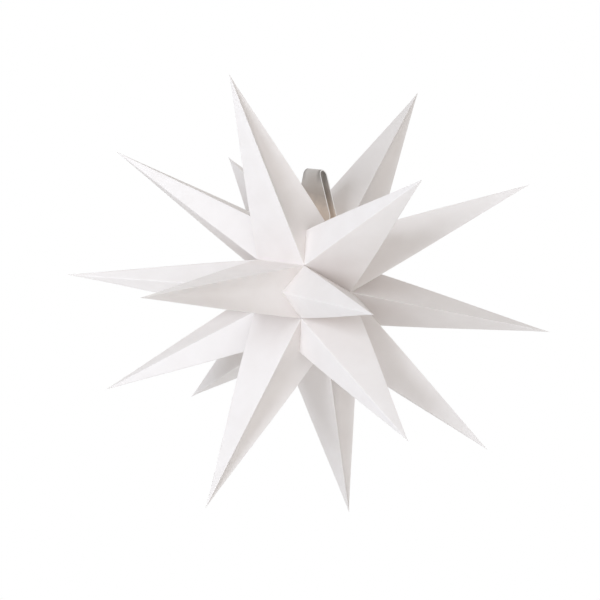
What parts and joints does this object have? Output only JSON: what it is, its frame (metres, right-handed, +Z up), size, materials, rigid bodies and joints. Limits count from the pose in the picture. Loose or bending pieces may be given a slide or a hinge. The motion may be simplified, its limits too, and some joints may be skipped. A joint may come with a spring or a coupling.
{
  "type": "paper star lantern",
  "caption": "White folded-card star lantern with long hollow points round an open core, a lamp inside and a sprung metal strap to hang it by.",
  "frame": {"origin": "middle of the underside of the hanger strap's crown, where a hook bears; the star's centre is 139.5 mm below it", "axes": "+Z up, out of the open seam; X along the fold axis, +X to the right of someone at the front; -Y is the front"},
  "size_m": [0.462, 0.6034, 0.525],
  "materials": {
    "card": "matt white card",
    "strap_metal": "dull grey-brown strip",
    "plate_metal": "plain sheet",
    "rivet_metal": "plain",
    "brass_fitting": "turned",
    "holder_plastic": "moulded, off-white",
    "bulb_glass": "opal"
  },
  "bodies": {
    "root": {"leaf_1_middle_point": "card", "leaf_1_left_point": "card", "leaf_1_right_point": "card", "leaf_2_middle_point": "card", "leaf_2_left_point": "card", "leaf_2_right_point": "card", "leaf_3_middle_point": "card", "leaf_3_left_point": "card", "leaf_3_right_point": "card", "leaf_4_middle_point": "card", "leaf_4_left_point": "card", "leaf_4_right_point": "card", "leaf_5_middle_point": "card", "leaf_5_left_point": "card", "leaf_5_right_point": "card", "leaf_6_middle_point": "card", "leaf_6_left_point": "card", "leaf_6_right_point": "card", "hanger_strap": "strap_metal", "lamp_plate": "plate_metal", "plate_rivets": "rivet_metal", "cable_nipple": "brass_fitting", "nipple_nut": "brass_fitting", "holder_cap": "holder_plastic", "holder_body": "holder_plastic", "bulb": "bulb_glass"}
  },
  "joints": []
}
